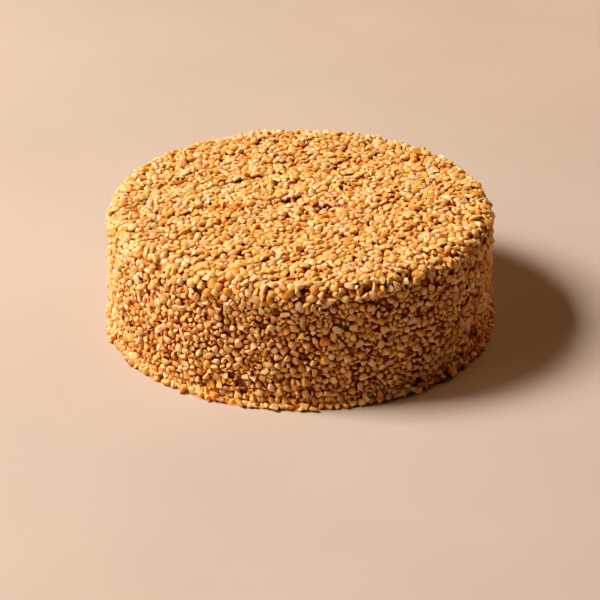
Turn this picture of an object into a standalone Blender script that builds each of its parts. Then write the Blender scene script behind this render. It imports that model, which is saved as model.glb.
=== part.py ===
"""Round layer cake, coated on its top and its wall with chopped roasted peanuts.

The cake is uncut, so it is one solid: a turned body whose coat has a pointed bump for each small nut and a
flat-topped block for each bigger one, with the row of nuts that lies along the foot fused on.
Metres, +Z up, the origin in the middle of the flat underside.
"""

import math
import random

import bmesh
import bpy
import numpy as np
from mathutils import Matrix, Vector, noise
from mathutils.geometry import delaunay_2d_cdt

# The coated cake, measured over the nuts
CAKE_RADIUS = 0.1050
CAKE_HEIGHT = 0.0698
EDGE_ROUND = 0.0100  # radius of the rounded top edge
TUCK_DEPTH = 0.0006  # the wall draws in a little at the very foot
TUCK_HEIGHT = 0.0060

# Broad shallow ridges, left by the hand that pressed the nuts on
SWELL_HEIGHT = 0.0009
SWELL_LENGTH = 0.0220

# The coat: a net of the hollows between the nuts, with one nut in each mesh of the net
HOLLOWS = 1860
HOLLOW_JITTER = 0.27  # of their spacing
HOLLOW_DEPTH = (0.0019, 0.0034)  # below the outline
CREST_DROP = (0.0001, 0.0012)  # of a small nut's crest, below the outline
CREST_SHIFT = 0.15  # sideways, of the spacing
BLOCK_SPACING = 0.0125  # between the bigger nuts, which show a flat cut face
BLOCK_AREA = 0.000024  # a mesh of the net smaller than this holds no block
BLOCK_LEAN = (0.0006, 0.0013)  # how far its sides lean in
BLOCK_DROP = (-0.0004, 0.0008)
BLOCK_TILT = 0.0005

# The row of nuts that slid down and lies along the foot
FOOT_NUTS = 64
FOOT_NUT_LENGTH = (0.0048, 0.0066)
FOOT_NUT_WIDTH = (0.74, 0.94)  # of its length
FOOT_NUT_THICKNESS = (0.60, 0.78)
FOOT_NUT_CORNERS = 8
FOOT_NUT_TURN = 0.5  # how unevenly its corners stand round it, in radians
FOOT_NUT_TILT = 0.35
FOOT_NUT_RISE = 0.0002  # its lowest corner, above the underside
FOOT_NUT_SUNK = 0.0021  # its inner end, inside the outline

PEANUT_COLOUR = (0.600, 0.330, 0.105)
PEANUT_ROUGHNESS = 0.5
GOLDEN_ANGLE = math.pi * (3 - math.sqrt(5))
SEED = 11


class Outline:
    """The coat's outline, from the middle of the top over the edge and down to the foot, and how it unrolls."""

    def __init__(self):
        flat = np.linspace(0, CAKE_RADIUS - EDGE_ROUND, 400)
        turn = np.linspace(0, math.pi / 2, 80)[1:]
        fall = np.linspace(CAKE_HEIGHT - EDGE_ROUND, 0, 300)[1:]
        tuck = TUCK_DEPTH * np.clip(1 - fall / TUCK_HEIGHT, 0, 1) ** 2
        edge_r = CAKE_RADIUS - EDGE_ROUND * (1 - np.sin(turn))
        edge_z = CAKE_HEIGHT - EDGE_ROUND * (1 - np.cos(turn))
        self.r = np.concatenate([flat, edge_r, CAKE_RADIUS - tuck])
        self.z = np.concatenate([np.full(len(flat), CAKE_HEIGHT), edge_z, fall])
        step = np.hypot(np.diff(self.r), np.diff(self.z))
        middle = (self.r[1:] + self.r[:-1]) / 2
        self.run = np.concatenate([[0], np.cumsum(step)])
        self.area = np.concatenate([[0], np.cumsum(math.tau * middle * step)])
        # On the flat map a step outwards grows with the distance from the middle, which keeps angles true
        growth = np.concatenate([[0], np.cumsum(step[1:] / middle[1:])])
        self.mapped = np.concatenate([[0], step[0] * np.exp(growth)])

    def point(self, run, angle):
        """The point this far down the outline, turned by the angle."""
        r = np.interp(run, self.run, self.r)
        return Vector((r * math.cos(angle), r * math.sin(angle), np.interp(run, self.run, self.z)))

    def on_map(self, run, angle):
        """The same point on the flat map."""
        far = np.interp(run, self.run, self.mapped)
        return Vector((far * math.cos(angle), far * math.sin(angle)))

    def spots(self, count, jitter, draw):
        """Evenly spread (run, angle) pairs: each has an equal area and is a golden angle on from the last.

        They end with a ring of level spots along the foot.
        """
        spacing = math.sqrt(self.area[-1] / count)
        spots = []
        for i in range(count):
            run = np.interp((i + 0.5) / count * self.area[-1], self.area, self.run)
            angle = i * GOLDEN_ANGLE
            angle += spacing * draw.uniform(-jitter, jitter) / np.interp(run, self.run, self.r)
            run += spacing * draw.uniform(-jitter, jitter)
            if 0 < run < self.run[-1] - spacing / 2:
                spots.append((run, angle))
        ring = round(math.tau * self.r[-1] / spacing)
        return spots + [(self.run[-1], math.tau * i / ring) for i in range(ring)]


def swell(point):
    """Height of the broad ridges at a point of the coat."""
    return SWELL_HEIGHT * noise.noise(point / SWELL_LENGTH)


def hollow_net(outline, draw):
    """The net of hollows on the plain outline, open underneath, with as many four-sided meshes as can be."""
    spots = outline.spots(HOLLOWS, HOLLOW_JITTER, draw)
    net = delaunay_2d_cdt([outline.on_map(*spot) for spot in spots], [], [], 0, 1e-7)
    bm = bmesh.new()
    corners = [bm.verts.new(outline.point(*spots[source[0]])) for source in net[3]]
    for face in net[2]:
        bm.faces.new([corners[i] for i in face])
    bmesh.ops.recalc_face_normals(bm, faces=bm.faces[:])
    bmesh.ops.join_triangles(
        bm,
        faces=bm.faces[:],
        angle_face_threshold=math.pi,
        angle_shape_threshold=math.pi,
    )
    bm.normal_update()
    return bm


def press_hollows(bm, draw):
    """Presses the hollows below the outline. The ring at the foot stays level and only wanders in and out."""
    ways = {v: v.normal.copy() for v in bm.verts}
    for v, way in ways.items():
        if v.is_boundary:
            v.co.xy *= 1 - draw.uniform(*CREST_DROP) / v.co.xy.length
        else:
            v.co += way * (swell(v.co) - draw.uniform(*HOLLOW_DEPTH))
    bm.normal_update()


def raise_crests(bm, faces, spacing, draw):
    """Raises a pointed bump in each of these meshes of the net, its crest a little to one side."""
    depth = sum(HOLLOW_DEPTH) / 2
    for v in bmesh.ops.poke(bm, faces=faces, center_mode="MEAN_WEIGHTED")["verts"]:
        out = sum((face.normal for face in v.link_faces), Vector()).normalized()
        aside = out.orthogonal().normalized() * spacing * CREST_SHIFT * draw.random()
        aside.rotate(Matrix.Rotation(draw.uniform(0, math.tau), 3, out))
        v.co += out * (depth - draw.uniform(*CREST_DROP)) + aside


def block_places(bm, draw):
    """Picks the meshes of the net that hold a block, at random but none too near to another."""
    wide = [face for face in bm.faces if len(face.verts) == 4 and face.calc_area() > BLOCK_AREA]
    picked = {}
    for face in draw.sample(wide, len(wide)):
        middle = face.calc_center_median()
        if all((middle - other).length > BLOCK_SPACING for other in picked.values()):
            picked[face] = middle
    return picked


def raise_blocks(bm, faces, draw):
    """Raises a block with leaning sides and a flat, tilted top in each of these meshes of the net."""
    depth = sum(HOLLOW_DEPTH) / 2
    for face in faces:
        out = face.normal.copy()
        lean = draw.uniform(*BLOCK_LEAN)
        bmesh.ops.inset_individual(bm, faces=[face], thickness=lean, use_even_offset=True)
        rise = depth - draw.uniform(*BLOCK_DROP)
        middle = face.calc_center_median()
        slope = Vector([draw.uniform(-1, 1) for axis in range(3)])
        for v in face.verts:
            tilt = BLOCK_TILT * slope.dot((v.co - middle).normalized())
            v.co += out * (rise + tilt)


def coated_body(outline, draw):
    """The cake's body with its coat: the net, pressed in and filled with nuts, and closed flat underneath."""
    bm = hollow_net(outline, draw)
    rim = [v for v in bm.verts if v.is_boundary]
    press_hollows(bm, draw)
    blocks = block_places(bm, draw)
    bumps = [face for face in bm.faces if face not in blocks]
    raise_blocks(bm, blocks, draw)
    raise_crests(bm, bumps, math.sqrt(outline.area[-1] / HOLLOWS), draw)
    bmesh.ops.contextual_create(bm, geom=rim)
    bmesh.ops.triangulate(bm, faces=bm.faces[:])
    bmesh.ops.recalc_face_normals(bm, faces=bm.faces[:])
    return bm


def chopped_nut(draw):
    """One chopped nut: the hull of a few corners on a longish, flattened egg, so it has flat cut sides."""
    length = draw.uniform(*FOOT_NUT_LENGTH)
    width = length * draw.uniform(*FOOT_NUT_WIDTH)
    thickness = length * draw.uniform(*FOOT_NUT_THICKNESS)
    bm = bmesh.new()
    for i in range(FOOT_NUT_CORNERS):
        height = 1 - (2 * i + 1) / FOOT_NUT_CORNERS
        across = math.sqrt(1 - height**2)
        angle = i * GOLDEN_ANGLE + draw.uniform(-FOOT_NUT_TURN, FOOT_NUT_TURN)
        corner = Vector((across * math.cos(angle), across * math.sin(angle), height))
        bm.verts.new(corner * Vector((length, width, thickness)) / 2)
    bmesh.ops.convex_hull(bm, input=bm.verts[:])
    bmesh.ops.recalc_face_normals(bm, faces=bm.faces[:])
    return bm


def foot_nuts(draw):
    """The row along the foot: nuts lying on their flat way, just clear of the underside, one end in the wall."""
    for i in range(FOOT_NUTS):
        angle = math.tau * (i + draw.uniform(-HOLLOW_JITTER, HOLLOW_JITTER)) / FOOT_NUTS
        out = Vector((math.cos(angle), math.sin(angle), 0))
        up = Vector((0, 0, 1)) + out * draw.uniform(-FOOT_NUT_TILT, FOOT_NUT_TILT)
        spin = Matrix.Rotation(draw.uniform(0, math.tau), 4, "Z")
        nut = chopped_nut(draw)
        nut.transform(up.to_track_quat("Z", "Y").to_matrix().to_4x4() @ spin)
        inner = min(v.co.dot(out) for v in nut.verts)
        lowest = min(v.co.z for v in nut.verts)
        where = out * (CAKE_RADIUS - FOOT_NUT_SUNK - inner)
        where.z = FOOT_NUT_RISE - lowest
        nut.transform(Matrix.Translation(where))
        yield nut


def peanut_material():
    material = bpy.data.materials.new("roasted_peanut")
    material.use_nodes = True
    shader = material.node_tree.nodes["Principled BSDF"]
    shader.inputs["Base Color"].default_value = (*PEANUT_COLOUR, 1)
    shader.inputs["Roughness"].default_value = PEANUT_ROUGHNESS
    shader.inputs["Metallic"].default_value = 0
    material.diffuse_color = (*PEANUT_COLOUR, 1)
    return material


def add_collection(name):
    collection = bpy.data.collections.new(name)
    bpy.context.scene.collection.children.link(collection)
    return collection


def add_object(name, bm, collection, material):
    mesh = bpy.data.meshes.new(name)
    bm.to_mesh(mesh)
    bm.free()
    mesh.materials.append(material)
    obj = bpy.data.objects.new(name, mesh)
    collection.objects.link(obj)
    return obj


def join_all(obj, collection):
    """Joins a collection's objects to the object by one union, and removes them."""
    union = obj.modifiers.new("join_nuts", "BOOLEAN")
    union.operation = "UNION"
    union.operand_type = "COLLECTION"
    union.collection = collection
    union.solver = "MANIFOLD"
    bpy.context.view_layer.objects.active = obj
    bpy.ops.object.modifier_apply(modifier=union.name)
    for other in list(collection.objects):
        bpy.data.objects.remove(other)
    bpy.data.collections.remove(collection)


def main():
    for obj in list(bpy.data.objects):
        bpy.data.objects.remove(obj)
    draw = random.Random(SEED)
    material = peanut_material()
    cake = add_object("coated_cake", coated_body(Outline(), draw), add_collection("peanut_cake"), material)
    row = add_collection("foot_nuts")
    for nut in foot_nuts(draw):
        add_object("foot_nut", nut, row, material)
    join_all(cake, row)


if __name__ == "__main__":
    main()
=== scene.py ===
"""The looks of a round layer cake that is coated all over with chopped roasted peanuts.

The file is laid out as a Blender add-on and is run as a script: the frame is loaded first, and the operators make the
pieces in order. Metres, +Z up, the origin in the middle of the underside.

How the coat is made: random spots on the cake's outline are pushed apart until the nuts there only just touch. Each
spot gets a nut of its kind: an outline across, flat-sided or D-shaped, is carried along the nut's length, and the
ends are rounded or chopped and the sides sliced. The nut lies along the ridges on the top, and elsewhere the way its
neighbours leave room for, and is pressed into the caramel cream to its own depth. Bits, crumbs and flecks of skin
start in the widest gaps, and a loose row of nuts lies along the foot.
"""

import math
from collections import namedtuple

import bpy
import numpy as np
from bpy.props import FloatProperty, FloatVectorProperty, IntProperty, PointerProperty
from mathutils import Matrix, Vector
from mathutils.kdtree import KDTree


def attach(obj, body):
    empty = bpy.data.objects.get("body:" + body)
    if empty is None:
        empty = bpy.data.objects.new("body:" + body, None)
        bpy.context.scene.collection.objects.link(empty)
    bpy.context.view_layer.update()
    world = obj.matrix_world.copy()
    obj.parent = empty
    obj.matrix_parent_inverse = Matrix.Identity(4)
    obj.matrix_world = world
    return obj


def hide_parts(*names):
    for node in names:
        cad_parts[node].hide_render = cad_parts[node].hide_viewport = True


bl_info = {
    "name": "Peanut Cake",
    "version": (1, 0, 0),
    "blender": (4, 5, 0),
    "location": "View3D > Sidebar > Peanut Cake",
    "description": "Coats a round cake with chopped roasted peanuts and sets its stage",
    "category": "Object",
}

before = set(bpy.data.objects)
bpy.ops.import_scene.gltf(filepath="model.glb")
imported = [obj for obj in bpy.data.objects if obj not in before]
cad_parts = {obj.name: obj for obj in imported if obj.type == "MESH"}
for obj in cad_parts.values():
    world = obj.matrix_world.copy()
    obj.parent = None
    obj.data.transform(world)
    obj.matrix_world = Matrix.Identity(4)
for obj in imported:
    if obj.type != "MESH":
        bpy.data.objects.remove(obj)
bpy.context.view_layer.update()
BODY = "root"
NODE = "coated_cake"

# Every use of chance draws from the seed and a number of its own, so a change to one leaves the others as they are
SEED = 21
SWELL_DRAW = 1
LAYOUT_DRAW = 2
CREAM_DRAW = 3
PATCH_DRAW = 4
NUTS_DRAW = 10
BITS_DRAW = 20
FOOT_DRAW = 30

# The outline of the coat, as the solid has it: wall, top and rounded top edge
CAKE_RADIUS = 0.1050
CAKE_HEIGHT = 0.0698
EDGE_ROUND = 0.0100
TINY = 1e-9  # keeps a division away from zero

# Broad shallow ridges in the coat, and clumps between them
SWELL_WAVES = 9
SWELL_LENGTH = (0.015, 0.034)
SWELL_WAY = math.radians(28)  # the ridges on the top run this far round from +X
SWELL_FAN = 0.35  # how far their ways fan out, in radians
SWELL_RISE = 0.8  # how much the waves may run up or down the wall, against their way across
SWELL_FADE = (0.080, 0.100)  # between these radii the ridges get lower, so that the outline stays even
SWELL_EDGE = 0.35  # and this is what is left of them outside
CLUMPS = 0.3  # height of the clumps, against the ridges'
CLUMP_WAVES = 16
CLUMP_LENGTH = (0.007, 0.014)

# How a nut's grid runs: points round its length, rings between its two ends
NUT_GRID = (8, 5)
BIT_GRID = (8, 3)
CRUMB_GRID = (6, 2)

# A kind of nut piece. Sizes are (least, most), the length in metres and the width and thickness in parts of it.
# block is the share with flat sides all round, the others are D-shaped across, with one flat side; chopped is the
# chance of each end to be cut off flat; slices is the number of further cuts; sunk is how deep below the outline the
# top lies, tilt how unevenly the nut lies, roll how far it is rolled from its flat side, room how much space it takes
# against its size. The foot row lies on the ground in a row, so it leaves sunk and room unused.
Kind = namedtuple("Kind", "name count length width thickness block chopped slices sunk tilt roll room grid")
SLIVERS = Kind(
    "sliver_nuts", 130, (0.0050, 0.0068), (0.45, 0.60), (0.45, 0.60),
    0.50, 0.60, 1, (-0.0004, 0.0006), 0.18, 0.7, 1.00, NUT_GRID,
)
SPLIT = Kind(
    "split_nuts", 1360, (0.0042, 0.0068), (0.58, 0.84), (0.54, 0.74),
    0.10, 0.35, 1, (-0.0006, 0.0009), 0.24, 0.7, 1.02, NUT_GRID,
)
CHIPS = Kind(
    "cut_nuts", 2420, (0.0036, 0.0054), (0.76, 0.98), (0.66, 0.88),
    0.80, 0.75, 2, (-0.0003, 0.0011), 0.52, 3.0, 1.05, NUT_GRID,
)
SMALL_CHIPS = Kind(
    "nut_bits", 1500, (0.0025, 0.0037), (0.70, 0.95), (0.65, 0.90),
    0.50, 0.60, 2, (0.0002, 0.0013), 0.40, 3.0, 1.00, BIT_GRID,
)
GAP_BITS = Kind(
    "gap_bits", 3700, (0.0024, 0.0037), (0.66, 0.95), (0.65, 0.90),
    0.60, 0.70, 2, (0.0010, 0.0020), 0.50, 3.0, 0.75, BIT_GRID,
)
CRUMBS = Kind(
    "nut_crumbs", 2500, (0.0010, 0.0018), (0.60, 0.95), (0.60, 0.90),
    0.80, 0.70, 1, (0.0014, 0.0022), 0.80, 3.0, 0.75, CRUMB_GRID,
)
FLECKS = Kind(
    "skin_flecks", 80, (0.0012, 0.0026), (0.50, 0.90), (0.10, 0.18),
    0.80, 0.50, 1, (0.0002, 0.0014), 0.90, 3.0, 0.75, CRUMB_GRID,
)
FOOT = Kind(
    "foot_nuts", 290, (0.0034, 0.0054), (0.66, 0.94), (0.60, 0.82),
    0.50, 0.70, 2, (0.0, 0.0), 0.30, 3.0, 1.00, NUT_GRID,
)
COAT_KINDS = (SLIVERS, SPLIT, CHIPS, SMALL_CHIPS)
GAP_KINDS = (GAP_BITS, CRUMBS, FLECKS)

# The shape of a nut, in parts of its half length or of its outline across
CORNER_SPREAD = 0.3  # how unevenly the corners of a flat-sided nut are spaced, in parts of their spacing
CORNER_CUT = (0.12, 0.27)  # how far those corners are rubbed off, in parts of the sides
BLOCK_CUT = 0.75  # how much a flat side all round counts as a cut face
FLAT_SIDE = ((-0.75, -0.16), (0.75, -0.16))  # the two points of a D-shaped nut's flat side
BOW_SPREAD = 0.03  # how uneven its bow is
CHOP_EDGE = 0.86  # the rubbed edge of a chopped end starts here
CHOP_FACE = 0.80  # and the cut face has this share of the outline's size
CHOP_LEAN = 0.24  # how far the cut face leans, as a slope
NARROWING = 0.38  # how much one end may be narrower than the middle
MIDDLE = 0.1  # the ring in the middle lies within this
SLICE_REACH = (0.55, 0.90)  # how far from the middle a slice lies
SLICE_WAY = (0.9, 1, 1)  # slices lie along the nut a little more often than across
SHARP = math.radians(42)  # edges bent more than this are drawn sharp

# How the spots are pushed apart
PUSH_LOOK = 6  # a nut's neighbours are looked for anew after this many rounds
PUSH_NEAR = 10  # and this many of them
PUSH_SHARE = 0.45  # the part of an overlap that each nut gives way by in one round
COAT_ROUNDS = 36
COAT_ROOM = (1.20, 1.05)  # the nuts first keep this much room, against what they need, and then this much
GAP_ROUNDS = 18
GAP_ROOM = 0.9  # how far the bits in the gaps keep away from the nuts, against the nuts' room
GAP_POOL = 3  # those bits start at the roomiest spots out of this many times as many
GAP_NEAR = 3  # judged by this many nuts next to a spot
LOWEST_NUT = 0.0041  # the coat's lowest spots, above the foot row

# How the nuts lie
ON_TOP = 0.28  # how loosely the first kinds keep to the top and the last ones to the wall
TOP_FROM = 0.8  # the top is where the outward direction points at least this far up
ALIGNED = 0.80  # how loosely the nuts on the top lie along the ridges
ROOM_ALIGNED = 0.35  # and the others along the way in which they have most room
ROOM_NEAR = 7  # the neighbours that this way is worked out from
ROOM_LEAST = 1e-5  # neighbours nearer than this count as this far
ANY_WAY = (0.31, 0.17, 0.94)  # a fixed way, only to start the ways along the surface from
SUNKEN = ((0.0, 0.5, 1.0), (0.045, 0.10, 0.008))  # the share of nuts that lie much deeper: wall, edge and top
SUNKEN_DEPTH = (0.0012, 0.0024)
DEEPEST_TOP = 0.0023  # no nut's top lies deeper than this, so that it still shows above the cream
HOLLOW_LENGTH = (0.009, 0.020)  # how far apart the patches of such nuts lie
HOLLOW_WAVES = 18
HOLLOWS = 1.1  # how strongly they keep to the patches
NO_LIFT = ((0.0, 1.0), (0.0, 0.0))  # a lift goes by how far up the outward direction points: (places, lifts)
BIT_LIFT = ((0.0, 0.3, 0.75, 1.0), (-0.0002, -0.0006, -0.0006, 0.0004))  # how much higher bits in gaps lie: wall to top

# How the nuts were roasted, 0 pale to 1 brown, and the painted shade on their deep sides and lower rims
ROAST_SHAPE = (4.0, 7.0)  # the two powers of the beta distribution
DARK_SHARE = 0.06  # the nuts that were roasted much darker
DARK_ROAST = (0.55, 0.92)
BIT_ROAST = 0.1  # bits and the foot row are roasted this much darker
GAP_SHADE_DEPTH = 0.003  # this far below the outline a nut gets the full painted shade of the gaps
RIM_SHADE_START = 0.20  # how far down from its own top a nut's lower rim starts to get painted shade, in parts of its height
RIM_SHADE = (0.20, 0.40)  # how much painted shade that adds at most, on the wall and on the top
RIM_SHADE_LIMIT = 0.60  # and up to which painted shade
RIDGE_UNSHADED = 0.5  # the part of a ridge's height that doesn't count as depth for the painted shade

# The foot row, in two lines
FOOT_OUTER = (0.0004, 0.0022)  # how far inside the wall's outline the nuts of each line begin
FOOT_INNER = (0.0024, 0.0040)
FOOT_SPREAD = 0.6  # how unevenly they are spaced, in parts of their spacing
FOOT_SPIN = 0.8  # how loosely they lie along the wall
FOOT_LIFT = 0.0001  # how high above the ground their lowest points lie
FOOT_STAIN = 0.0016  # up to this height they are smeared

# The cream
CREAM_SUNK = 0.0029  # its surface, below the outline
CREAM_AROUND = 360
CREAM_ROWS = (40, 14, 90)  # rows on the top, round the edge and down the wall
CREAM_LUMP = 0.0005  # height of its small lumps
CREAM_WAVES = 14
CREAM_LENGTH = (0.004, 0.009)
CREAM_SHARP = math.radians(60)
CREAM_PAINTED_SHADE = (0.30, 0.65)  # the darkest and lightest cream between the nuts, in parts of its colour: painted shade of the gaps on the caramel's own colour
SMEAR_REACH = (0.0004, 0.0016)  # how far past the wall the cream is smeared at the foot
SMEAR_HEIGHT = 0.0022
SMEAR_WAVES = (2, 5, 11, 23)  # how often the reach swings on its way round

# Noise scales, from the size of the spots: 1 / scale metres
MOTTLE_SCALE = 420.0  # blotches of the roast, 2.4 mm, half a nut
GRAIN_SCALE = 1900.0  # grain of the flesh, 0.5 mm; the real one is finer and wouldn't show
STROKE_SCALE = 220.0  # strokes in the cream, 4.5 mm
VEIN_SCALE = 900.0  # veins of the skin, 1.1 mm
BRUSH_SCALE = 6.0  # broad brushing of the board, 170 mm

# The stage: each light's name, place, (width, height), watts and colour
LIGHTS = (
    ("key_light", (-1.63, 0.00, 1.76), (0.8, 0.8), 76.5, "#FFEEDA"),
    ("fill_light", (-1.25, -0.65, 0.56), (0.9, 0.9), 3.9, "#FFCEA0"),
    ("back_light", (0.67, 1.16, 0.59), (0.9, 0.9), 2.2, "#FFC48E"),
    ("side_light", (1.07, 0.84, 0.68), (0.5, 0.5), 2.1, "#FFC088"),
)
LIGHT_AIM = (0.0, 0.0, 0.05)
WORLD_COLOUR = "#FFB27C"
WORLD_STRENGTH = 0.003
BACKDROP_COLOUR = "#D0BBA5"
BACKDROP_STRENGTH = 0.62
FLOOR_COLOURS = ("#B1A197", "#B8A89E")
FLOOR_RADIUS = 1.7
FLOOR_RINGS = (0.2, 1.0, 5)  # the first and the last ring, in parts of the radius, and how many there are
FLOOR_AROUND = 96
FLOOR_DROP = 0.0002
VIEW_EXPOSURE = 0.0
VIEW_GAMMA = 1.5

# The camera, fitted to the outline of the cake in the photo
FRAME_PIXELS = 600
SENSOR = 36.0
FOCAL_PIXELS = 2034.0
PITCH = math.radians(27.6)
DISTANCE = 1.129
AIM_DROP = -0.0072
CLIP_START = 0.01


def linear(code):
    """The linear colour of an sRGB hex value such as "#E8C79A"."""
    parts = [int(code[i : i + 2], 16) / 255 for i in (1, 3, 5)]
    return tuple(c / 12.92 if c <= 0.04045 else ((c + 0.055) / 1.055) ** 2.4 for c in parts)


# ---------------------------------------------------------------- sizes and colours that a user would change


class CakeSizes(bpy.types.PropertyGroup):
    """Sizes of the coat"""

    nut_size: FloatProperty(
        name="Nut size", description="Size of every nut against the measured ones", default=1.0, min=0.7, max=1.3
    )
    nuts_proud: FloatProperty(
        name="Nuts proud",
        description="How much further out the nuts stand",
        default=0.0,
        min=-0.001,
        max=0.001,
        unit="LENGTH",
        subtype="DISTANCE",
    )
    swell: FloatProperty(
        name="Ridges",
        description="Height of the broad ridges in the coat",
        default=0.0007,
        min=0.0,
        max=0.003,
        unit="LENGTH",
        subtype="DISTANCE",
    )
    seed: IntProperty(name="Seed", description="Another scatter of the same nuts", default=SEED, min=0)


def colour_property(name, description, code):
    """A colour that a user can change, with its sRGB hex value as the default."""
    return FloatVectorProperty(
        name=name, description=description, default=linear(code), subtype="COLOR", size=3, min=0, max=1
    )


class CakeColours(bpy.types.PropertyGroup):
    """Colours of the nuts, their skin and the cream"""

    pale: colour_property("Pale nut", "The palest nuts", "#ECC395")
    gold: colour_property("Golden nut", "Most of the nuts", "#E3AD5D")
    amber: colour_property("Amber nut", "Nuts that were roasted darker", "#DC8E30")
    brown: colour_property("Brown nut", "The few darkest nuts", "#A45E23")
    # painted shade on the nuts' deep sides and lower rims, and the cream's smear on the foot row
    shade_and_smear: colour_property("Smeared nut", "Sides of the nuts that the cream has stained", "#CA7818")
    skin: colour_property("Skin", "Flecks of the nuts' red-brown skin", "#6A2814")
    cream: colour_property("Caramel cream", "The cream between the nuts", "#7C340C")
    smear: colour_property("Smear at the foot", "Thin caramel cream along the foot", "#C8762C")


def settings():
    """The sizes as the user has set them."""
    return bpy.context.scene.cake_sizes


def colours():
    """The colours as the user has set them."""
    return bpy.context.scene.cake_colours


def chance(number):
    """A random generator for one use, which gives the same draws each time."""
    return np.random.default_rng([settings().seed, number])


# ---------------------------------------------------------------- the coat's outline


def on_outline(points):
    """Brings points to the coat's outline, and gives the outward direction there.

    The outline lies one edge radius away from a core, which is the cylinder drawn in by that radius.
    """
    far = np.linalg.norm(points[:, :2], axis=1)
    inward = np.minimum(far, CAKE_RADIUS - EDGE_ROUND) / np.maximum(far, TINY)
    core = np.column_stack([points[:, :2] * inward[:, None], np.minimum(points[:, 2], CAKE_HEIGHT - EDGE_ROUND)])
    away = points - core
    out = away / np.linalg.norm(away, axis=1, keepdims=True)
    return core + out * EDGE_ROUND, out


def depth_of(points):
    """How deep points lie below the outline, by the rule of on_outline."""
    far = np.linalg.norm(points[:, :2], axis=1)
    side = far - (CAKE_RADIUS - EDGE_ROUND)
    above = points[:, 2] - (CAKE_HEIGHT - EDGE_ROUND)
    away = np.where((side > 0) & (above > 0), np.hypot(side, above), np.maximum(side, above))
    return EDGE_ROUND - away


def random_spots(count, draw):
    """Random points of the coat, evenly spread over its area: top, rounded edge and wall by their share."""
    flat = (CAKE_RADIUS - EDGE_ROUND) ** 2 / 2
    turn = EDGE_ROUND * ((CAKE_RADIUS - EDGE_ROUND) * math.pi / 2 + EDGE_ROUND)
    fall = CAKE_RADIUS * (CAKE_HEIGHT - EDGE_ROUND)
    area = draw.random(count) * (flat + turn + fall)
    far = np.interp(area, [0, flat], [0, 1]) ** 0.5 * (CAKE_RADIUS - EDGE_ROUND)
    bend = np.interp(area, [flat, flat + turn], [0, math.pi / 2])
    drop = np.interp(area, [flat + turn, flat + turn + fall], [0, CAKE_HEIGHT - EDGE_ROUND])
    radius = far + EDGE_ROUND * np.sin(bend)
    angle = draw.random(count) * math.tau
    height = CAKE_HEIGHT - EDGE_ROUND * (1 - np.cos(bend)) - drop
    return np.column_stack([radius * np.cos(angle), radius * np.sin(angle), height])


def random_waves(points, count, length, draw):
    """A sum of sine waves that run in all ways, each with a length within these limits and a phase of its own."""
    ways = draw.normal(size=(count, 3))
    ways *= (math.tau / draw.uniform(*length, count) / np.linalg.norm(ways, axis=1))[:, None]
    return np.sin(points @ ways.T + draw.uniform(0, math.tau, count)).sum(1)


def swell(points):
    """Height of the ridges and clumps: sine waves whose crests run along one way on the top, and random waves."""
    draw = chance(SWELL_DRAW)
    across = SWELL_WAY + math.pi / 2 + draw.normal(size=SWELL_WAVES) * SWELL_FAN
    number = math.tau / draw.uniform(*SWELL_LENGTH, SWELL_WAVES)
    upward = draw.uniform(-SWELL_RISE, SWELL_RISE, SWELL_WAVES)
    ways = np.column_stack([np.cos(across), np.sin(across), upward]) * number[:, None]
    phase = draw.uniform(0, math.tau, SWELL_WAVES)
    strong = np.interp(np.linalg.norm(points[:, :2], axis=1), SWELL_FADE, (1, SWELL_EDGE))
    ridges = strong * np.sin(points @ ways.T + phase).sum(1) / math.sqrt(SWELL_WAVES)
    clumps = random_waves(points, CLUMP_WAVES, CLUMP_LENGTH, draw) / math.sqrt(CLUMP_WAVES)
    return settings().swell * (ridges + CLUMPS * clumps)


def patches(points):
    """An uneven field of about -2 to 2 that is high in patches: random waves over the root of half their number."""
    return random_waves(points, HOLLOW_WAVES, HOLLOW_LENGTH, chance(PATCH_DRAW)) / math.sqrt(HOLLOW_WAVES / 2)


# ---------------------------------------------------------------- where the nuts lie


def tree_of(points):
    """A tree in which the points nearest to a place are quick to find."""
    tree = KDTree(len(points))
    for i, point in enumerate(points):
        tree.insert(point, i)
    tree.balance()
    return tree


def neighbours(points, count):
    """The numbers of the nearest other points of each point."""
    tree = tree_of(points)
    return np.array([[found[1] for found in tree.find_n(point, count + 1)[1:]] for point in points])


def in_gaps(points, count, nuts, radii):
    """Of these points the ones that lie furthest outside the circles of the nuts next to them."""
    tree = tree_of(nuts)
    clear = [min(far - radii[i] for _, i, far in tree.find_n(point, GAP_NEAR)) for point in points]
    return points[np.argsort(clear)[-count:]]


def push_apart(points, radii, free, rounds):
    """Pushes overlapping nuts apart along the outline, each by about half of the overlap; only the free ones move."""
    for step in range(rounds):
        if step % PUSH_LOOK == 0:
            near = neighbours(points, PUSH_NEAR)
        gap = points[:, None] - points[near]
        far = np.linalg.norm(gap, axis=2)
        overlap = np.clip(radii[:, None] + radii[near] - far, 0, None)
        push = gap * (PUSH_SHARE * overlap / np.maximum(far, TINY))[..., None]
        points = points + free[:, None] * push.sum(1)
        points[:, 2] = np.maximum(points[:, 2], LOWEST_NUT)
        points = on_outline(points)[0]
    return points


def nut_sizes(kind, draw):
    """Length, width and thickness of each nut of a kind."""
    length = draw.uniform(*kind.length, kind.count) * settings().nut_size
    width = length * draw.uniform(*kind.width, kind.count)
    return np.column_stack([length, width, length * draw.uniform(*kind.thickness, kind.count)])


def radii_of(sizes, room):
    """The circle that each nut takes up on the outline: as large as its length by its width, times its room."""
    return room * np.sqrt(sizes[:, 0] * sizes[:, 1]) / 2


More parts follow.
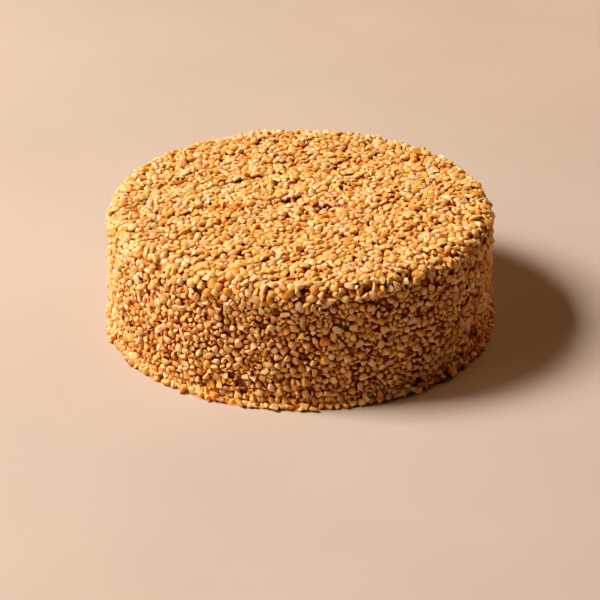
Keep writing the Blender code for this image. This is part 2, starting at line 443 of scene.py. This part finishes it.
def lay_out():
    """Where every nut of the coat's surface lies: spots for all kinds together, pushed apart by their sizes."""
    draw = chance(LAYOUT_DRAW)
    sizes = np.vstack([nut_sizes(kind, draw) for kind in COAT_KINDS])
    radii = radii_of(sizes, np.repeat([kind.room for kind in COAT_KINDS], [kind.count for kind in COAT_KINDS]))
    spots = random_spots(len(sizes), draw)
    upward = on_outline(spots)[1][:, 2] + draw.normal(0, ON_TOP, len(sizes))
    spots = spots[np.argsort(-upward)]
    for room in COAT_ROOM:
        spots = push_apart(spots, radii * room, np.ones(len(sizes)), COAT_ROUNDS)
    return sizes, radii, spots


def sideways(out):
    """Two ways along the surface for each outward direction, at right angles to each other."""
    side = np.cross(out, ANY_WAY)
    side /= np.linalg.norm(side, axis=1, keepdims=True)
    return side, np.cross(out, side)


def roomy_angle(points, near, side, other):
    """The angle, from side to other, of the way in which each nut has most room between its neighbours.

    The room is widest across the neighbours' main direction. It is the mean of their doubled directions, and each
    counts by its distance to the power -3: a doubled direction comes as long as the distance squared, so the weight
    has the power -5.
    """
    gap = points[near] - points[:, None]
    a = (gap * side[:, None]).sum(2)
    b = (gap * other[:, None]).sum(2)
    weight = np.maximum(np.hypot(a, b), ROOM_LEAST) ** -5
    return 0.5 * np.arctan2((2 * a * b * weight).sum(1), ((a * a - b * b) * weight).sum(1)) + math.pi / 2


def turned(side, other, angle):
    """The way along the surface at this angle, from side to other."""
    return side * np.cos(angle)[:, None] + other * np.sin(angle)[:, None]


# ---------------------------------------------------------------- nuts


def grid_faces(around, rings):
    """The faces of a closed grid: rings of four-sided faces, and a fan round the point that closes each end.

    The points run ring by ring, then the first end's and the last end's.
    """
    i, j = np.meshgrid(np.arange(around), np.arange(rings - 1))
    here, there = (i + j * around).ravel(), ((i + 1) % around + j * around).ravel()
    quads = np.column_stack([here, here + around, there + around, there])
    i = np.arange(around)
    first, last, base = around * rings, around * rings + 1, (rings - 1) * around
    near_fan = np.column_stack([np.full(around, first), i, (i + 1) % around])
    far_fan = np.column_stack([np.full(around, last), base + (i + 1) % around, base + i])
    return quads, np.vstack([near_fan, far_fan])


def across_nuts(kind, count, around, draw):
    """The outline across each nut, and how much of each point is a cut face: arrays of count, around, (y, z).

    Flat-sided: half as many corners as points, unevenly spaced on a circle; each corner becomes two points, a part
    of the way along either side. D-shaped: points evenly round the upper half of a circle, and two on its flat side.
    """
    corners = around // 2
    spread = draw.uniform(-CORNER_SPREAD, CORNER_SPREAD, (count, corners))
    angle = (np.arange(corners) + spread) / corners * math.tau
    corner = np.stack([np.cos(angle), np.sin(angle)], axis=2)
    rubbed = draw.uniform(*CORNER_CUT, (count, corners, 1))
    before = corner + rubbed * (np.roll(corner, 1, axis=1) - corner)
    after = corner + rubbed * (np.roll(corner, -1, axis=1) - corner)
    block = np.stack([before, after], axis=2).reshape(count, around, 2)
    arc = np.linspace(0, math.pi, around - 2)
    bow = np.vstack([np.column_stack([np.cos(arc), np.sin(arc)]), FLAT_SIDE])
    bow = bow * draw.normal(1, BOW_SPREAD, (count, around, 1))
    flat = (draw.random(count) < kind.block)[:, None]
    cut = np.where(flat, BLOCK_CUT, (np.arange(around) >= around - 2) * 1.0)
    turn = draw.normal(0, kind.roll, count)
    c, s = np.cos(turn)[:, None], np.sin(turn)[:, None]
    outline = np.where(flat[..., None], block, bow)
    y, z = outline[..., 0], outline[..., 1]
    return np.stack([y * c - z * s, y * s + z * c], axis=2), cut


def nut_shapes(kind, count, draw):
    """Nuts of size 1 along each axis, and how far each grid point lies on a cut face.

    The outline across is carried along the length, x from -1 to 1. At a round end its scale is the root of (1 - x
    squared). At a chopped end it stays full to near the end and then drops to the cut's rubbed edge, and the cut
    leans: x grows with y and z. The nut narrows evenly along x. Each slice then moves what lies beyond its plane
    straight onto it. Last, the nut is stretched to fill its box.
    """
    around, rings = kind.grid
    outline, cut = across_nuts(kind, count, around, draw)
    v = np.linspace(1, -1, rings + 2)[1:-1]
    aside, outer = np.abs(v) > MIDDLE, np.abs(v) > np.abs(v).max() - MIDDLE
    round_x, round_scale = np.sin(v * math.pi / 2), np.cos(v * math.pi / 2)
    chop_x = np.sign(v) * np.where(outer, 1.0, CHOP_EDGE) * aside
    chop_scale = np.where(outer, CHOP_FACE, 1.0) if rings > 3 else np.ones(rings)
    chopped = draw.random((count, 2)) < kind.chopped
    end = np.where(v > 0, chopped[:, :1], chopped[:, 1:])
    x = np.where(end, chop_x, round_x)
    scale = np.where(end, chop_scale, round_scale)
    scale = scale * (1 + draw.uniform(-NARROWING, NARROWING, (count, 1)) * x)
    ring = outline[:, None] * scale[..., None, None]
    lean = draw.normal(0, CHOP_LEAN, (count, 2, 2))
    lean = np.where((v > 0)[:, None], lean[:, :1], lean[:, 1:]) * (aside * end)[..., None]
    x = x[..., None] + (ring * lean[:, :, None]).sum(3)
    points = np.concatenate([x[..., None], ring], axis=3).reshape(count, around * rings, 3)
    tips = np.stack([points[:, :around].mean(1), points[:, -around:].mean(1)], axis=1)
    tips = np.where(chopped[..., None], tips, [[1.0, 0, 0], [-1.0, 0, 0]])
    points = np.concatenate([points, tips], axis=1)
    cut = np.repeat(cut[:, None], rings, axis=1)
    cut = np.where((end & outer)[..., None], 1.0, cut).reshape(count, -1)
    cut = np.concatenate([cut, chopped * 1.0], axis=1)
    for _ in range(kind.slices):
        normal = draw.normal(size=(count, 1, 3)) * SLICE_WAY
        normal /= np.linalg.norm(normal, axis=2, keepdims=True)
        reach = draw.uniform(*SLICE_REACH, (count, 1))
        beyond = np.clip((points * normal).sum(2) - reach, 0, None)
        points = points - beyond[..., None] * normal
        cut = np.where(beyond > 0, 1.0, cut)
    low, high = points.min(1, keepdims=True), points.max(1, keepdims=True)
    return (points - (low + high) / 2) / (high - low), cut


def place_nuts(shapes, sizes, middles, out, along, tilt, draw):
    """Stretches each nut to its size and stands it at its place: length along the surface, thickness outwards."""
    across = np.cross(out, along)
    lean = draw.normal(0, tilt, (len(out), 2))
    z = out + along * lean[:, :1] + across * lean[:, 1:]
    z /= np.linalg.norm(z, axis=1, keepdims=True)
    x = along - z * (along * z).sum(1, keepdims=True)
    x /= np.linalg.norm(x, axis=1, keepdims=True)
    turn = np.stack([x, np.cross(z, x), z], axis=1)
    return middles[:, None] + np.einsum("nvc,ncd->nvd", shapes * sizes[:, None], turn)


def roast_of(count, draw, more=0.0):
    """How dark each nut was roasted, 0 to 1: most lie low, a few are amber or brown."""
    roast = draw.beta(*ROAST_SHAPE, count) + more
    dark = draw.random(count) < DARK_SHARE
    return np.clip(np.where(dark, draw.uniform(*DARK_ROAST, count), roast), 0, 1)


def painted_shade_of(verts, out, ridge):
    """How much painted shade each point of the nuts gets, 0 to 1: darker the deeper it lies in the gaps, and on its
    nut's lower rim.

    The shade is the depth below the outline over GAP_SHADE_DEPTH, where a part of the ridge's height doesn't count.
    From
    RIM_SHADE_START to twice that, down from the nut's own top, it grows by RIM_SHADE, but only up to RIM_SHADE_LIMIT.
    """
    deep = depth_of(verts.reshape(-1, 3)).reshape(len(verts), -1)
    low = deep - deep.min(1, keepdims=True)
    rim_shade = np.clip(low / low.max(1, keepdims=True) / RIM_SHADE_START - 1, 0, 1)
    rim_shade *= np.interp(out[:, 2:], (0, 1), RIM_SHADE)
    deep = (deep + RIDGE_UNSHADED * ridge[:, None]) / GAP_SHADE_DEPTH
    return np.clip(np.maximum(deep, np.minimum(deep + rim_shade, RIM_SHADE_LIMIT)), 0, 1)


def grow(kind, sizes, spots, along, draw, roast, material, lift=NO_LIFT):
    """Makes the nuts of one kind at these spots of the outline and adds them as one piece.

    A nut's middle lies below the outline by its depth and half its thickness. The depth is drawn for its kind, less
    the lift and the ridge there. A share of the nuts lies much deeper, and the share grows with the power of e to
    the patches' height.
    """
    count = len(spots)
    surface, out = on_outline(spots)
    shapes, cut = nut_shapes(kind, count, draw)
    ridge = swell(surface)
    sunk = draw.uniform(*kind.sunk, count) - np.interp(out[:, 2], *lift)
    share = np.interp(out[:, 2], *SUNKEN) * np.exp(HOLLOWS * patches(surface))
    sunk += draw.uniform(*SUNKEN_DEPTH, count) * (draw.random(count) < share)
    sunk = np.minimum(sunk, DEEPEST_TOP) - settings().nuts_proud - ridge
    middles = surface - out * (sunk + sizes[:, 2] / 2)[:, None]
    verts = place_nuts(shapes, sizes, middles, out, along, kind.tilt, draw)
    # painted shade: deeper sides and each nut's lower rim get darker
    add_nuts(kind, verts, cut, roast, painted_shade_of(verts, out, ridge), material)


def add_nuts(kind, verts, cut, roast, deep, material):
    """One mesh of many nuts; each point keeps how dark its nut was roasted, how far it is cut, and how much painted
    shade it gets (on the foot row: how far the cream smears it).
    """
    quads, fans = grid_faces(*kind.grid)
    count, each = verts.shape[:2]
    shift = np.arange(count)[:, None, None] * each
    quads = (quads + shift).reshape(-1, 4)
    fans = (fans + shift).reshape(-1, 3)
    mesh = bpy.data.meshes.new(kind.name)
    mesh.vertices.add(count * each)
    mesh.vertices.foreach_set("co", verts.astype(np.float32).ravel())
    corners = np.concatenate([quads.ravel(), fans.ravel()])
    mesh.loops.add(len(corners))
    mesh.loops.foreach_set("vertex_index", corners.astype(np.int32))
    starts = np.concatenate([np.arange(len(quads)) * 4, len(quads) * 4 + np.arange(len(fans)) * 3])
    mesh.polygons.add(len(starts))
    mesh.polygons.foreach_set("loop_start", starts.astype(np.int32))
    # deep holds the painted shade of the coat's nuts, and the cream's smear on the foot row
    for name, values in (("roast", np.repeat(roast, each)), ("cut", cut), ("deep", deep)):
        mesh.attributes.new(name, "FLOAT", "POINT").data.foreach_set("value", values.astype(np.float32).ravel())
    mesh.update(calc_edges=True)
    add_piece(kind.name, mesh, SHARP, material)


def add_piece(name, mesh, sharp, material):
    """Puts a mesh into the scene as a piece that rides on the cake and stands for its solid."""
    mesh.shade_smooth()
    mesh.set_sharp_from_angle(angle=sharp)
    mesh.materials.append(material)
    obj = bpy.data.objects.new(name, mesh)
    bpy.context.scene.collection.objects.link(obj)
    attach(obj, BODY)
    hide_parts(NODE)


# ---------------------------------------------------------------- materials


def add_node(tree, kind, inputs=None, **options):
    """Adds a node with its options, and sets each input to a value or links it to another node's output."""
    node = tree.nodes.new(kind)
    for name, value in options.items():
        setattr(node, name, value)
    for name, value in (inputs or {}).items():
        if isinstance(value, bpy.types.NodeSocket):
            tree.links.new(value, node.inputs[name])
        else:
            node.inputs[name].default_value = value
    return node


def set_ramp(node, stops):
    """Sets a colour ramp to these (place, colour) stops."""
    ramp = node.color_ramp
    while len(ramp.elements) > 1:
        ramp.elements.remove(ramp.elements[-1])
    for i, (place, colour) in enumerate(stops):
        element = ramp.elements[0] if i == 0 else ramp.elements.new(place)
        element.position = place
        element.color = (*colour, 1)
    return node.outputs["Color"]


def new_material(name):
    """An empty material, its tree and the piece's own coordinates, in metres."""
    material = bpy.data.materials.new(name)
    material.use_nodes = True
    tree = material.node_tree
    tree.nodes.clear()
    return material, tree, add_node(tree, "ShaderNodeTexCoord").outputs["Object"]


def peanut_material():
    """Blanched peanuts, roasted golden and chopped: satin and slightly oily outside, paler and drier where cut.

    The roast of each nut and a mottle choose its colour from pale to brown, and light goes a little way into the
    flesh. Sides that lie deep, and each nut's lower rim, get painted shade, first amber and then brown; on the foot row
    the same colours are the cream's smear.
    """
    found = bpy.data.materials.get("roasted_peanut_flesh")
    if found:
        return found
    material, tree, place = new_material("roasted_peanut_flesh")
    c = colours()
    roast = add_node(tree, "ShaderNodeAttribute", attribute_name="roast").outputs["Fac"]
    cut = add_node(tree, "ShaderNodeAttribute", attribute_name="cut").outputs["Fac"]
    mottle = add_node(
        tree, "ShaderNodeTexNoise", {"Vector": place, "Scale": MOTTLE_SCALE, "Detail": 3.0, "Roughness": 0.6}
    )
    spread = add_node(tree, "ShaderNodeMath", {0: mottle.outputs["Fac"], 1: 0.4, 2: -0.2}, operation="MULTIPLY_ADD")
    shade = add_node(tree, "ShaderNodeMath", {0: roast, 1: spread.outputs[0]}, operation="ADD")
    paler = add_node(tree, "ShaderNodeMath", {0: cut, 1: -0.16, 2: shade.outputs[0]}, operation="MULTIPLY_ADD")
    ramp = add_node(tree, "ShaderNodeValToRGB", {"Fac": paler.outputs[0]})
    flesh = set_ramp(ramp, [(0.0, c.pale), (0.35, c.gold), (0.72, c.amber), (1.0, c.brown)])
    # painted shade: deep sides and lower rims go amber and then brown; on the foot row this is the cream's smear
    deep = add_node(tree, "ShaderNodeAttribute", attribute_name="deep").outputs["Fac"]
    uneven = add_node(tree, "ShaderNodeMath", {0: spread.outputs[0], 1: deep}, operation="ADD")
    smear = add_node(tree, "ShaderNodeMapRange", {"Value": uneven.outputs[0], "From Min": 0.32, "From Max": 0.70})
    shade_and_smear_colour = set_ramp(add_node(tree, "ShaderNodeValToRGB", {"Fac": uneven.outputs[0]}), [(0.50, c.shade_and_smear), (0.95, c.cream)])
    # sockets 0, 6 and 7 are a colour mix's factor and its two colours, and output 2 is the mixed colour
    stained = add_node(tree, "ShaderNodeMix", {0: smear.outputs[0], 6: flesh, 7: shade_and_smear_colour}, data_type="RGBA")
    grain = add_node(tree, "ShaderNodeTexNoise", {"Vector": place, "Scale": GRAIN_SCALE, "Detail": 2.0})
    gloss = add_node(
        tree,
        "ShaderNodeMapRange",
        {"Value": mottle.outputs["Fac"], "From Min": 0.3, "From Max": 0.7, "To Min": 0.42, "To Max": 0.6},
    )
    bump = add_node(tree, "ShaderNodeBump", {"Height": grain.outputs["Fac"], "Strength": 0.35, "Distance": 0.0002})
    shader = add_node(
        tree,
        "ShaderNodeBsdfPrincipled",
        {
            "Base Color": stained.outputs[2],
            "Roughness": gloss.outputs[0],
            "Normal": bump.outputs[0],
            "IOR": 1.47,
            "Subsurface Weight": 0.65,
            "Subsurface Radius": (1.0, 0.30, 0.10),
            "Subsurface Scale": 0.0024,
        },
    )
    add_node(tree, "ShaderNodeOutputMaterial", {"Surface": shader.outputs[0]})
    return material


def cream_material():
    """Caramel cream, spread by hand: sticky and half glossy, and painted darker by CREAM_PAINTED_SHADE for the shade in
    the gaps between the nuts.

    The thin smear along the foot is lighter, because the ground shines through it.
    """
    material, tree, place = new_material("caramel_cream")
    stroke = add_node(tree, "ShaderNodeTexNoise", {"Vector": place, "Scale": STROKE_SCALE, "Detail": 3.0})
    # painted shade: the cream shows only in the gaps, so its colour is darkened
    dark, light = ([v * share for v in colours().cream] for share in CREAM_PAINTED_SHADE)
    ramp = add_node(tree, "ShaderNodeValToRGB", {"Fac": stroke.outputs["Fac"]})
    shade = set_ramp(ramp, [(0.3, dark), (0.7, light)])
    height = add_node(tree, "ShaderNodeSeparateXYZ", {"Vector": place}).outputs["Z"]
    low = add_node(tree, "ShaderNodeMapRange", {"Value": height, "From Min": 0.0025, "From Max": 0.0012})
    foot = add_node(tree, "ShaderNodeMix", {0: low.outputs[0], 6: shade, 7: (*colours().smear, 1)}, data_type="RGBA")
    bump = add_node(tree, "ShaderNodeBump", {"Height": stroke.outputs["Fac"], "Strength": 0.5, "Distance": 0.0006})
    shader = add_node(
        tree,
        "ShaderNodeBsdfPrincipled",
        {"Base Color": foot.outputs[2], "Roughness": 0.6, "Normal": bump.outputs[0], "IOR": 1.40},
    )
    add_node(tree, "ShaderNodeOutputMaterial", {"Surface": shader.outputs[0]})
    return material


def skin_material():
    """The papery red-brown skin of a peanut, in torn flecks: matt, dark, with paler veins."""
    material, tree, place = new_material("peanut_skin")
    veins = add_node(tree, "ShaderNodeTexNoise", {"Vector": place, "Scale": VEIN_SCALE, "Detail": 2.0})
    light = [min(1.0, v * 2.2) for v in colours().skin]
    ramp = add_node(tree, "ShaderNodeValToRGB", {"Fac": veins.outputs["Fac"]})
    colour = set_ramp(ramp, [(0.35, colours().skin), (0.75, light)])
    bump = add_node(tree, "ShaderNodeBump", {"Height": veins.outputs["Fac"], "Strength": 0.4, "Distance": 0.0002})
    shader = add_node(
        tree, "ShaderNodeBsdfPrincipled", {"Base Color": colour, "Roughness": 0.6, "Normal": bump.outputs[0]}
    )
    add_node(tree, "ShaderNodeOutputMaterial", {"Surface": shader.outputs[0]})
    return material


def board_material():
    """A painted wooden board, brushed broadly: matt and pale, so that it only carries the shadow."""
    material, tree, place = new_material("painted_board")
    brush = add_node(tree, "ShaderNodeTexNoise", {"Vector": place, "Scale": BRUSH_SCALE, "Detail": 4.0})
    ramp = add_node(tree, "ShaderNodeValToRGB", {"Fac": brush.outputs["Fac"]})
    colour = set_ramp(ramp, list(zip((0.3, 0.7), map(linear, FLOOR_COLOURS))))
    shader = add_node(tree, "ShaderNodeBsdfPrincipled", {"Base Color": colour, "Roughness": 0.9})
    add_node(tree, "ShaderNodeOutputMaterial", {"Surface": shader.outputs[0]})
    return material


# ---------------------------------------------------------------- the cream and the stage


def circles(radius, height, around):
    """Points on circles about the Z axis, one circle for each radius and height, ring by ring."""
    angle = np.arange(around) / around * math.tau
    x, y = radius[:, None] * np.cos(angle), radius[:, None] * np.sin(angle)
    return np.column_stack([x.ravel(), y.ravel(), np.repeat(height, around)])


def cream_profile():
    """Radius and height of the cream's rows along the outline: flat top, quarter circle of the edge, wall."""
    flat, bend, wall = CREAM_ROWS
    inner = CAKE_RADIUS - EDGE_ROUND
    turn = np.linspace(0, math.pi / 2, bend)
    radius = (np.linspace(0, inner, flat)[1:-1], inner + EDGE_ROUND * np.sin(turn), np.full(wall - 1, CAKE_RADIUS))
    fall = np.linspace(CAKE_HEIGHT - EDGE_ROUND, 0, wall)[1:]
    height = (np.full(flat - 2, CAKE_HEIGHT), CAKE_HEIGHT - EDGE_ROUND * (1 - np.cos(turn)), fall)
    return np.concatenate(radius), np.concatenate(height)


def cream_points():
    """The cream's points, row by row from the top's middle to the foot.

    They lie CREAM_SUNK below the outline, with the ridges and small random waves added. Below SMEAR_HEIGHT the cream
    reaches further out, by the square of how far down a point lies, up to a reach that swings on its way round.
    """
    surface, out = on_outline(circles(*cream_profile(), CREAM_AROUND))
    draw = chance(CREAM_DRAW)
    lumps = CREAM_LUMP * random_waves(surface, CREAM_WAVES, CREAM_LENGTH, draw) / math.sqrt(CREAM_WAVES)
    points = surface + out * (swell(surface) + lumps - CREAM_SUNK)[:, None]
    points[-CREAM_AROUND:, 2] = 0
    turns = np.outer(np.arctan2(points[:, 1], points[:, 0]), SMEAR_WAVES)
    waves = np.sin(turns + draw.uniform(0, math.tau, len(SMEAR_WAVES))).sum(1) / len(SMEAR_WAVES)
    reach = CREAM_SUNK + np.interp(waves, (-1, 1), SMEAR_REACH)
    slope = np.clip(1 - points[:, 2] / SMEAR_HEIGHT, 0, 1) ** 2
    return points + out * [1, 1, 0] * (reach * slope)[:, None]


def add_floor():
    """A round floor, level with the cake's underside: a disc on a grid of rings."""
    first, last, count = FLOOR_RINGS
    radius = np.linspace(first, last, count) * FLOOR_RADIUS
    points = circles(radius, np.full(count, -FLOOR_DROP), FLOOR_AROUND)
    quads = grid_faces(FLOOR_AROUND, count)[0]
    mesh = bpy.data.meshes.new("floor")
    mesh.from_pydata(points, [], quads.tolist() + [list(range(FLOOR_AROUND))])
    mesh.materials.append(board_material())
    floor = bpy.data.objects.new("floor", mesh)
    bpy.context.scene.collection.objects.link(floor)


def add_world(scene):
    """A dim warm glow from all round, and a plain pale backdrop where the view goes past the floor."""
    world = bpy.data.worlds.new("studio")
    world.use_nodes = True
    tree = world.node_tree
    tree.nodes.clear()
    glow = {"Color": (*linear(WORLD_COLOUR), 1), "Strength": WORLD_STRENGTH}
    backdrop = {"Color": (*linear(BACKDROP_COLOUR), 1), "Strength": BACKDROP_STRENGTH}
    soft, pale = (add_node(tree, "ShaderNodeBackground", inputs) for inputs in (glow, backdrop))
    seen = add_node(tree, "ShaderNodeLightPath").outputs["Is Camera Ray"]
    both = add_node(tree, "ShaderNodeMixShader", {0: seen, 1: soft.outputs[0], 2: pale.outputs[0]})
    add_node(tree, "ShaderNodeOutputWorld", {"Surface": both.outputs[0]})
    scene.world = world


def add_light(name, place, size, watts, colour):
    """A soft rectangular light that faces the cake."""
    data = bpy.data.lights.new(name, "AREA")
    data.shape = "RECTANGLE"
    data.size, data.size_y = size
    data.energy = watts
    data.color = linear(colour)
    light = bpy.data.objects.new(name, data)
    light.location = place
    light.rotation_euler = (Vector(LIGHT_AIM) - Vector(place)).to_track_quat("-Z", "Y").to_euler()
    bpy.context.scene.collection.objects.link(light)


def add_camera(scene):
    """The camera, in front of the cake and looking down by PITCH."""
    data = bpy.data.cameras.new("camera")
    data.sensor_width = SENSOR
    data.lens = SENSOR * FOCAL_PIXELS / FRAME_PIXELS
    data.clip_start = CLIP_START
    camera = bpy.data.objects.new("camera", data)
    back = DISTANCE * math.cos(PITCH) + AIM_DROP * math.sin(PITCH)
    camera.location = (0, -back, DISTANCE * math.sin(PITCH) - AIM_DROP * math.cos(PITCH))
    camera.rotation_euler = (math.pi / 2 - PITCH, 0, 0)
    scene.collection.objects.link(camera)
    scene.camera = camera


# ---------------------------------------------------------------- operators


class CAKE_OT_cream(bpy.types.Operator):
    """Makes the caramel cream that the nuts are pressed into"""

    bl_idname = "cake.cream"
    bl_label = "Caramel cream"

    def execute(self, context):
        points = cream_points()
        quads, fans = grid_faces(CREAM_AROUND, len(points) // CREAM_AROUND)
        points = np.vstack([points, [[0, 0, points[:CREAM_AROUND, 2].mean()], [0, 0, 0]]])
        mesh = bpy.data.meshes.new("caramel_cream")
        mesh.from_pydata(points, [], quads.tolist() + fans.tolist())
        add_piece("caramel_cream", mesh, CREAM_SHARP, cream_material())
        return {"FINISHED"}


class CAKE_OT_nuts(bpy.types.Operator):
    """Presses the chopped nuts into the cream, side by side over the top, the edge and the wall"""

    bl_idname = "cake.nuts"
    bl_label = "Chopped nuts"

    def execute(self, context):
        sizes, _, spots = lay_out()
        out = on_outline(spots)[1]
        side, other = sideways(out)
        on_top = out[:, 2] > TOP_FROM
        ridge = np.array([math.cos(SWELL_WAY), math.sin(SWELL_WAY), 0])
        roomy = roomy_angle(spots, neighbours(spots, ROOM_NEAR), side, other)
        angle = np.where(on_top, np.arctan2(other @ ridge, side @ ridge), roomy)
        loose = np.where(on_top, ALIGNED, ROOM_ALIGNED)
        start = 0
        for number, kind in enumerate(COAT_KINDS):
            draw = chance(NUTS_DRAW + number)
            part = slice(start, start + kind.count)
            start += kind.count
            way = angle[part] + draw.normal(0, 1, kind.count) * loose[part]
            along = turned(side[part], other[part], way)
            grow(kind, sizes[part], spots[part], along, draw, roast_of(kind.count, draw), peanut_material())
        return {"FINISHED"}


class CAKE_OT_bits(bpy.types.Operator):
    """Fills the gaps between the nuts with small bits, crumbs and flecks of skin"""

    bl_idname = "cake.bits"
    bl_label = "Bits and crumbs"

    def execute(self, context):
        _, fixed_radii, fixed = lay_out()
        for number, kind in enumerate(GAP_KINDS):
            draw = chance(BITS_DRAW + number)
            sizes = nut_sizes(kind, draw)
            pool = random_spots(kind.count * GAP_POOL, draw)
            spots = np.vstack([fixed, in_gaps(pool, kind.count, fixed, fixed_radii)])
            free = np.repeat([0.0, 1.0], [len(fixed), kind.count])
            radii = np.concatenate([fixed_radii * GAP_ROOM, radii_of(sizes, kind.room)])
            spots = push_apart(spots, radii, free, GAP_ROUNDS)[len(fixed) :]
            along = turned(*sideways(on_outline(spots)[1]), draw.uniform(0, math.tau, kind.count))
            material = skin_material() if kind is FLECKS else peanut_material()
            grow(kind, sizes, spots, along, draw, roast_of(kind.count, draw, BIT_ROAST), material, BIT_LIFT)
        return {"FINISHED"}


class CAKE_OT_foot(bpy.types.Operator):
    """Lays the row of nuts that slid down along the foot of the cake"""

    bl_idname = "cake.foot"
    bl_label = "Foot row"

    def execute(self, context):
        draw = chance(FOOT_DRAW)
        count = FOOT.count
        sizes = nut_sizes(FOOT, draw)
        shapes, cut = nut_shapes(FOOT, count, draw)
        angle = (np.arange(count) + draw.uniform(-FOOT_SPREAD, FOOT_SPREAD, count)) / count * math.tau
        outward = np.column_stack([np.cos(angle), np.sin(angle), np.zeros(count)])
        up = np.tile([0.0, 0.0, 1.0], (count, 1))
        spin = angle + math.pi / 2 + draw.normal(0, FOOT_SPIN, count)
        along = np.column_stack([np.cos(spin), np.sin(spin), np.zeros(count)])
        verts = place_nuts(shapes, sizes, np.zeros((count, 3)), up, along, FOOT.tilt, draw)
        # a nut's point nearest to the cake goes to its line, just inside the wall, and its lowest point to the ground
        inner = (verts * outward[:, None]).sum(2).min(1)
        outer_line, inner_line = draw.uniform(*FOOT_OUTER, count), draw.uniform(*FOOT_INNER, count)
        reach = CAKE_RADIUS - np.where(np.arange(count) % 2 == 0, outer_line, inner_line) - inner
        lift = FOOT_LIFT - verts[:, :, 2].min(1)
        verts = verts + (outward * reach[:, None] + up * lift[:, None])[:, None]
        deep = np.clip(1 - verts[:, :, 2] / FOOT_STAIN, 0, 1)
        add_nuts(FOOT, verts, cut, roast_of(count, draw, BIT_ROAST), deep, peanut_material())
        return {"FINISHED"}


class CAKE_OT_stage(bpy.types.Operator):
    """Sets the floor, the soft lights and the camera"""

    bl_idname = "cake.stage"
    bl_label = "Stage"

    def execute(self, context):
        scene = context.scene
        add_floor()
        add_world(scene)
        for light in LIGHTS:
            add_light(*light)
        add_camera(scene)
        scene.view_settings.view_transform = "Standard"
        scene.view_settings.look = "High Contrast"
        scene.view_settings.exposure = VIEW_EXPOSURE
        scene.view_settings.gamma = VIEW_GAMMA
        return {"FINISHED"}


OPERATORS = (CAKE_OT_cream, CAKE_OT_nuts, CAKE_OT_bits, CAKE_OT_foot, CAKE_OT_stage)


class CAKE_PT_panel(bpy.types.Panel):
    """Lists the cake's operators, sizes and colours"""

    bl_label = "Peanut Cake"
    bl_idname = "CAKE_PT_panel"
    bl_space_type = "VIEW_3D"
    bl_region_type = "UI"
    bl_category = "Peanut Cake"

    def draw(self, context):
        for group in (context.scene.cake_sizes, context.scene.cake_colours):
            for name in group.__annotations__:
                self.layout.prop(group, name)
        for operator in OPERATORS:
            self.layout.operator(operator.bl_idname)


CLASSES = (CakeSizes, CakeColours, *OPERATORS, CAKE_PT_panel)


def register():
    """Makes the classes known and gives every scene its sizes and colours."""
    for cls in CLASSES:
        bpy.utils.register_class(cls)
    bpy.types.Scene.cake_sizes = PointerProperty(type=CakeSizes)
    bpy.types.Scene.cake_colours = PointerProperty(type=CakeColours)


def unregister():
    """Takes them away again."""
    del bpy.types.Scene.cake_colours
    del bpy.types.Scene.cake_sizes
    for cls in reversed(CLASSES):
        bpy.utils.unregister_class(cls)


def main():
    """Makes all pieces and the stage."""
    register()
    bpy.ops.cake.cream()
    bpy.ops.cake.nuts()
    bpy.ops.cake.bits()
    bpy.ops.cake.foot()
    bpy.ops.cake.stage()


if __name__ == "__main__":
    main()
